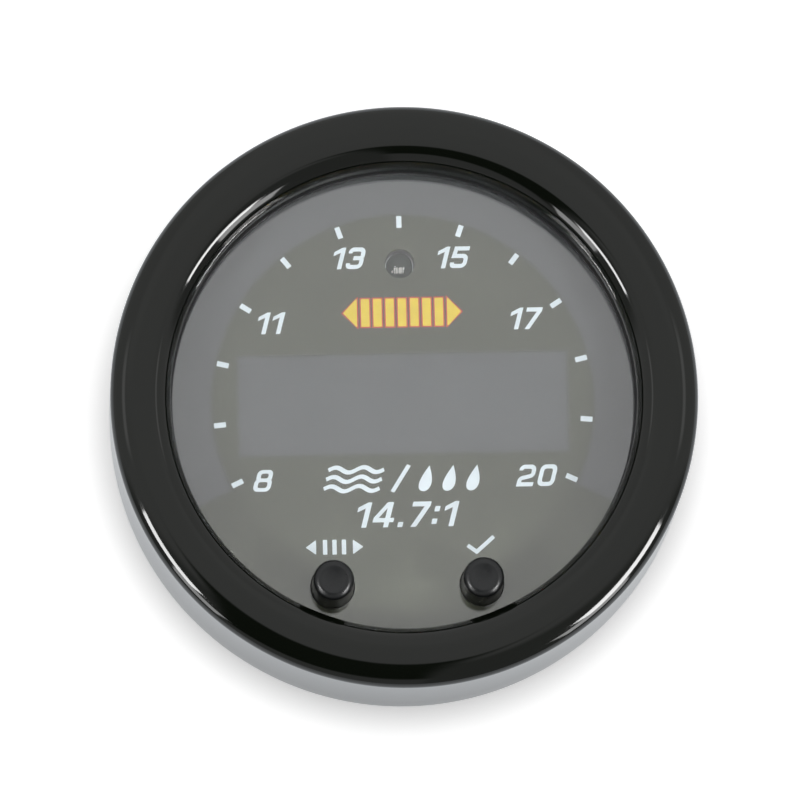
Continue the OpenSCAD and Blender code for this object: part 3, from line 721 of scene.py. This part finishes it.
# Left button: steps between two pointers. Right button: a check mark
MODE_X, SELECT_X, LABEL_Y = -7.2, 7.43, -14.47
BAR_PITCH, BAR_HALF_W, SIGN_HALF_H = 0.95, 0.22, 0.75
mode = [block(MODE_X + x, LABEL_Y, BAR_HALF_W, SIGN_HALF_H, 0.06)
        for x in (-BAR_PITCH, 0, BAR_PITCH)]
mode += [arrowhead(MODE_X, LABEL_Y, side, 2.9, 1.85, SIGN_HALF_H, 0.05) for side in (-1, 1)]
print_piece("mode_sign", mode, white_ink)
check = [(SELECT_X - 1.25, LABEL_Y - 0.05), (SELECT_X - 0.35, LABEL_Y - 0.72),
         (SELECT_X + 1.4, LABEL_Y + 0.8)]
print_piece("select_sign", [stroke(check, 0.4)], white_ink)

# Plain row of bars between two arrowheads, yellow with a thin red edge
ROW_X, ROW_Y, ROW_PITCH, ROW_EDGE = 0.12, 9.31, 1.24, 0.13
BADGE_T = 0.02 * MM


def badge(grow):
    """The row's outlines, each grown outward in millimetres."""
    shapes = [block(ROW_X + i * ROW_PITCH, ROW_Y, 0.42 + grow, 1.42 + grow, 0.08)
              for i in range(-3, 4)]
    shapes += [arrowhead(ROW_X, ROW_Y, side, 5.95 + 1.5 * grow, 4.55 - grow, 1.5 + 1.6 * grow, 0.06)
               for side in (-1, 1)]
    return shapes


red_ink = ink("red_ink", (0.46, 0.012, 0.006), 0.06, 0.9 * MM)
yellow_ink = ink("yellow_ink", (0.67, 0.51, 0.002), 0.05, 0.9 * MM)
print_piece("badge_edge", badge(ROW_EDGE), red_ink, height=BADGE_T)
print_piece("badge_face", badge(0.0), yellow_ink, height=BADGE_T, z=PRINT_Z + BADGE_T)

# ---------------------------------------------------------------- stage
# The floor looks white to the camera, and gloss surfaces mirror it bright, both less so close to
# the part, where the photo has its shadow. That dimming is a painted shadow, laid over the floor's
# own shadow
floor_mat = bpy.data.materials.new("floor_white_painted_shadow")
f = Nodes(floor_mat)
shader = f.node("ShaderNodeBsdfDiffuse")
shader.inputs[0].default_value = (0.92, 0.92, 0.92, 1)
ray = f.node("ShaderNodeLightPath").outputs
length = f.node("ShaderNodeVectorMath", operation="LENGTH")
f.link(f.node("ShaderNodeTexCoord").outputs["Object"], length.inputs[0])
seen = ray["Is Camera Ray"]
mirrored = f.math("MAXIMUM", ray["Is Glossy Ray"], ray["Is Transmission Ray"])
# Painted shadow: each glow dims from its high level far out to its low level near the part's axis,
# both for the camera and in gloss surfaces
for value, colour, near, far, low, high in (
    (seen, (1, 1, 1, 1), 0.029, 0.0325, 0.26, 0.47),
    (mirrored, (0.8, 0.9, 1.0, 1), 0.0298, 0.0345, 0.16, 0.42),
):
    glow = f.node("ShaderNodeEmission")
    glow.inputs["Color"].default_value = colour
    lift_with_painted_shadow = f.step(length.outputs["Value"], near, far, low, high)
    f.link(f.math("MULTIPLY", value, lift_with_painted_shadow), glow.inputs["Strength"])
    added = f.node("ShaderNodeAddShader")
    f.link(shader.outputs[0], added.inputs[0])
    f.link(glow.outputs[0], added.inputs[1])
    shader = added
f.link(shader.outputs[0], f.node("ShaderNodeOutputMaterial").inputs[0])

FLOOR_HALF = 3
mesh = bpy.data.meshes.new("floor")
mesh.from_pydata([(-FLOOR_HALF, -FLOOR_HALF, 0), (FLOOR_HALF, -FLOOR_HALF, 0),
                  (FLOOR_HALF, FLOOR_HALF, 0), (-FLOOR_HALF, FLOOR_HALF, 0)], [], [(0, 1, 2, 3)])
floor = new_object("floor", mesh, floor_mat)

# ---------------------------------------------------------------- world
world = bpy.data.worlds.new("studio")
bpy.context.scene.world = world
sky = Nodes(world)


def mixed(share, low, high):
    return sky.math("ADD", sky.math("MULTIPLY", share, sky.math("SUBTRACT", high, low)), low)


# What gloss surfaces mirror: bright overhead and behind, bright sides with a line of light down
# each, and a dark zone in front. All else gets an even light, and the camera sees white
SKY_SIDE, SKY_LINE, SKY_DARK, SKY_LOW, SKY_FRONT, SKY_EVEN = 0.93, 1.9, 0.03, 0.62, 0.42, 0.42
direction = sky.node("ShaderNodeSeparateXYZ")
sky.link(sky.node("ShaderNodeTexCoord").outputs["Generated"], direction.inputs[0])
dx, dy, _ = direction.outputs
across = sky.math("ABSOLUTE", dx)
line = sky.math("MULTIPLY", sky.step(across, 0.38, 0.45), sky.step(across, 0.5, 0.57, 1.0, 0.0))
line = sky.math("MULTIPLY", line, sky.step(dy, 0.2, 0.3, 1.0, 0.0))
sides = sky.step(across, 0.28, 0.42)
top = mixed(line, mixed(sides, sky.step(dy, 0.1, 0.22, 0.93, 1.07), SKY_SIDE), SKY_LINE)
low = sky.step(dy, -0.72, -0.6, SKY_LOW, SKY_DARK)
leaning = sky.math("SUBTRACT", dx, sky.math("MULTIPLY", dy, 0.75))
beside_dark = sky.math("MAXIMUM", sky.step(dx, 0.05, 0.11),
                       sky.step(leaning, -0.19, -0.12, 1.0, 0.0))
front = mixed(beside_dark, low, sky.step(dy, -0.22, -0.02, SKY_FRONT, SKY_SIDE))
level = mixed(sky.step(dy, 0.03, 0.1), front, top)
ray = sky.node("ShaderNodeLightPath").outputs
mirrored = sky.math("MAXIMUM", ray["Is Glossy Ray"], ray["Is Transmission Ray"])
background = sky.node("ShaderNodeBackground")
sky.link(mixed(ray["Is Camera Ray"], mixed(mirrored, SKY_EVEN, level), 1.0),
         background.inputs["Strength"])
sky.link(background.outputs[0], sky.node("ShaderNodeOutputWorld").inputs[0])


# ---------------------------------------------------------------- lamps
def softbox(name, azimuth, elevation, width, height, radiance, distance=0.7, mirrored=True,
            lights=False):
    """A lamp that faces the crown, either mirrored in gloss surfaces or lighting the rest."""
    light = bpy.data.lights.new(name, "AREA")
    light.shape = "RECTANGLE"
    light.size, light.size_y = width, height
    light.energy = radiance * math.pi * width * height
    ob = bpy.data.objects.new(name, light)
    a, e = math.radians(azimuth), math.radians(elevation)
    toward = Vector((math.cos(e) * math.cos(a), math.cos(e) * math.sin(a), math.sin(e)))
    ob.location = toward * distance + Vector((0, 0, CROWN_Z))
    ob.rotation_euler = toward.to_track_quat("Z", "Y").to_euler()
    ob.visible_camera = False
    ob.visible_glossy = mirrored
    ob.visible_transmission = mirrored
    ob.visible_diffuse = lights
    bpy.context.scene.collection.objects.link(ob)


softbox("softbox_left", 204, 46, 0.19, 0.14, 21)
softbox("softbox_left_low", 217, 27, 0.17, 0.33, 5.5)
softbox("softbox_right", 330, 45, 0.24, 0.15, 23)
softbox("softbox_right_low", 318, 28, 0.22, 0.33, 6.5)
softbox("overhead", 90, 88, 2.2, 2.2, 1.27, distance=1.3, mirrored=False, lights=True)

# ---------------------------------------------------------------- camera, as fitted to the photo
DISTANCE = 39 * BEZEL_R
TILT, TURN, ROLL = math.radians(9.13), math.radians(-12.22), math.radians(1.303)
PX_PER_R, FRAME_PX = 294.61, 800
CENTRE_PX = (404.76, 394.30)
SENSOR_MM = 36
target = Vector((0, 0, CROWN_Z))
away = Vector((math.sin(TILT) * math.sin(TURN), -math.sin(TILT) * math.cos(TURN), math.cos(TILT)))
side_x = Vector((0, 1, 0)).cross(away).normalized()
side_y = away.cross(side_x)
right = side_x * math.cos(ROLL) - side_y * math.sin(ROLL)
up = side_x * math.sin(ROLL) + side_y * math.cos(ROLL)
eye = target + away * DISTANCE
# The crown's centre lies a little off the middle of the picture
aim = (target - right * ((CENTRE_PX[0] - FRAME_PX / 2) / PX_PER_R * BEZEL_R)
       - up * ((FRAME_PX / 2 - CENTRE_PX[1]) / PX_PER_R * BEZEL_R))
back = (eye - aim).normalized()
right = (right - back * right.dot(back)).normalized()
up = back.cross(right)
stand = Matrix((right, up, back)).transposed().to_4x4()
stand.translation = eye
camera_data = bpy.data.cameras.new("camera")
camera_data.sensor_fit = "HORIZONTAL"
camera_data.sensor_width = SENSOR_MM
camera_data.lens = PX_PER_R * DISTANCE / BEZEL_R / FRAME_PX * SENSOR_MM
camera_data.clip_end = 20
camera = bpy.data.objects.new("camera", camera_data)
camera.matrix_world = stand
bpy.context.scene.collection.objects.link(camera)
bpy.context.scene.camera = camera

bpy.context.scene.view_settings.view_transform = "Standard"
